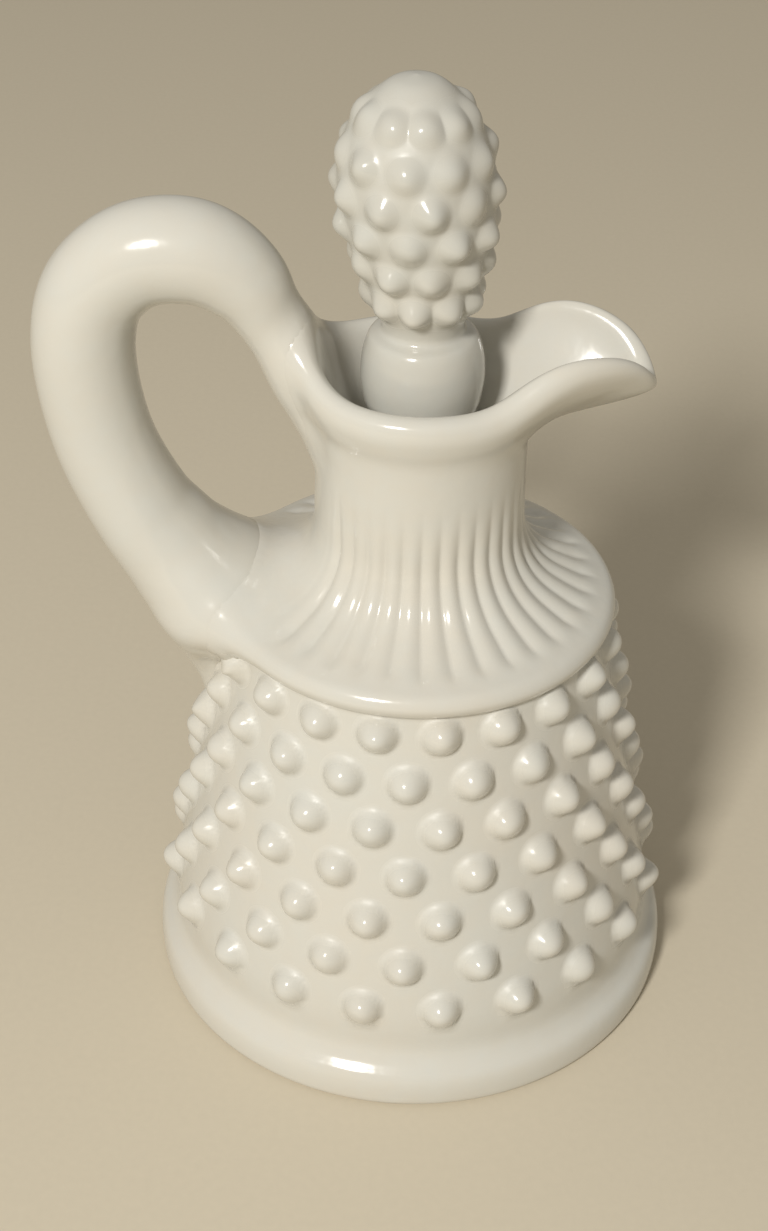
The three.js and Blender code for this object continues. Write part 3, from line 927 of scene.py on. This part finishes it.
class CRUET_OT_bottle(bpy.types.Operator):
    """Makes the bottle with its hobnails, fluted shoulder and pulled spout, and the handle melted onto it"""
    bl_idname = "cruet.bottle"
    bl_label = "Make bottle and handle"

    def execute(self, context):
        scene, glass, trees = context.scene, bpy.data.materials, bpy.data.node_groups
        size, grip = scene.cruet_bottle, scene.cruet_handle
        bottle = turned_mesh("bottle_glass", bottle_stations(size), size.segments)
        warp(bottle, pulled_lip(size))
        handle = swept_mesh("handle_glass", handle_stations(grip, size), grip.sides, grip.steps)
        cold_bottle, cold_handle = surface_of(bottle), surface_of(handle)
        melt(bottle, cold_handle, grip, size, True)
        melt(handle, cold_bottle, grip, size, False)
        apply_tree(bottle, trees["Flutes"], values_of(scene.cruet_flutes, glass["bottle_glass"]))
        apply_tree(bottle, trees["Hobnails"], values_of(scene.cruet_hobs, glass["bottle_glass"]))
        for piece in (bottle, handle):
            ripple = {"Height": scene.cruet_glass.ripple, "Material": glass[piece.name]}
            apply_tree(piece, trees["Ripple"], ripple)
        warp(bottle, set_down)
        finish_piece(bottle, BOTTLE_BODY, "bottle")
        finish_piece(handle, BOTTLE_BODY, "handle")
        return {"FINISHED"}


class CRUET_OT_stopper(bpy.types.Operator):
    """Makes the stopper with its ground peg, plain knob and hobnailed finial"""
    bl_idname = "cruet.stopper"
    bl_label = "Make stopper"

    def execute(self, context):
        scene, trees = context.scene, bpy.data.node_groups
        size, glass = scene.cruet_stopper, bpy.data.materials["stopper_glass"]
        stopper = turned_mesh("stopper_glass", stopper_stations(size), size.segments)
        apply_tree(stopper, trees["Hobnails"], values_of(scene.cruet_finial, glass))
        warp(stopper, leaning(size))
        apply_tree(stopper, trees["Ripple"], {"Height": scene.cruet_glass.ripple, "Material": glass})
        finish_piece(stopper, STOPPER_BODY, "stopper")
        return {"FINISHED"}


class CRUET_OT_stage(bpy.types.Operator):
    """Makes the plain floor, the even light, the soft box and the camera"""
    bl_idname = "cruet.stage"
    bl_label = "Make stage"

    def execute(self, context):
        scene = context.scene
        stage = scene.cruet_stage
        half = stage.floor_size / 2
        corners = [(-half, -half, 0), (half, -half, 0), (half, half, 0), (-half, half, 0)]
        floor = new_object("floor", corners, [(0, 1, 2, 3)])
        floor.data.materials.append(floor_paper(stage.floor))
        world = bpy.data.worlds.new("even_light")
        world.use_nodes = True
        backdrop = world.node_tree.nodes["Background"]
        backdrop.inputs["Color"].default_value = (*stage.sky_colour, 1)
        backdrop.inputs["Strength"].default_value = stage.sky
        scene.world = world
        soft_box(scene, stage)
        make_camera(scene, stage)
        scene.view_settings.view_transform = "Standard"
        return {"FINISHED"}


def soft_box(scene, stage):
    """A square lamp that faces the middle of the cruet."""
    lamp = bpy.data.lights.new("soft_box", "AREA")
    lamp.energy = stage.lamp_power
    lamp.size = stage.lamp_size
    lamp.color = stage.lamp_colour
    box = bpy.data.objects.new("soft_box", lamp)
    turn, rise = stage.lamp_turn, stage.lamp_rise
    aim = Vector((math.sin(turn) * math.cos(rise), -math.cos(turn) * math.cos(rise), math.sin(rise)))
    middle = Vector((0, 0, stopper_high.z / 2))
    box.location = middle + aim * stage.lamp_distance
    box.rotation_mode = "QUATERNION"
    box.rotation_quaternion = aim.to_track_quat("Z", "Y")
    scene.collection.objects.link(box)


SENSOR = 36


def make_camera(scene, stage):
    """The camera, in front of the axis and looking down on the cruet."""
    lens = bpy.data.cameras.new("camera")
    lens.lens = stage.camera_lens
    lens.sensor_fit = "VERTICAL"
    lens.sensor_height = SENSOR
    lens.sensor_width = SENSOR
    lens.clip_start = 10 * MM
    camera = bpy.data.objects.new("camera", lens)
    turn = Matrix.Rotation(stage.camera_turn, 4, "Z")
    tilt = Matrix.Rotation(math.pi / 2 - stage.camera_tilt, 4, "X")
    roll = Matrix.Rotation(stage.camera_roll, 4, "Z")
    place = Matrix.Translation((0, -stage.camera_back, stage.camera_height))
    camera.matrix_world = place @ turn @ tilt @ roll
    scene.collection.objects.link(camera)
    scene.camera = camera


class CRUET_PT_panel(bpy.types.Panel):
    """Lists the steps that make the cruet, and its sizes"""
    bl_idname = "CRUET_PT_panel"
    bl_label = "Cruet"
    bl_space_type = "VIEW_3D"
    bl_region_type = "UI"
    bl_category = "Cruet"

    def draw(self, context):
        for operator in OPERATORS:
            self.layout.operator(operator.bl_idname)
        for name in GROUPS:
            box = self.layout.box()
            group = getattr(context.scene, name)
            for key in labels_of(group):
                box.prop(group, key)


OPERATORS = (CRUET_OT_finishes, CRUET_OT_bottle, CRUET_OT_stopper, CRUET_OT_stage)
GROUPS = {
    "cruet_bottle": BottleSizes,
    "cruet_hobs": WallHobnails,
    "cruet_finial": FinialHobnails,
    "cruet_flutes": ShoulderFlutes,
    "cruet_handle": HandleSizes,
    "cruet_stopper": StopperSizes,
    "cruet_glass": GlassFinish,
    "cruet_stage": StageSettings,
}


def register():
    for kind in (*GROUPS.values(), *OPERATORS, CRUET_PT_panel):
        bpy.utils.register_class(kind)
    for name, kind in GROUPS.items():
        setattr(bpy.types.Scene, name, PointerProperty(type=kind))


def unregister():
    for name in GROUPS:
        delattr(bpy.types.Scene, name)
    for kind in (CRUET_PT_panel, *reversed(OPERATORS), *reversed(GROUPS.values())):
        bpy.utils.unregister_class(kind)


def main():
    register()
    bpy.ops.cruet.finishes()
    bpy.ops.cruet.bottle()
    bpy.ops.cruet.stopper()
    bpy.ops.cruet.stage()


if __name__ == "__main__":
    main()
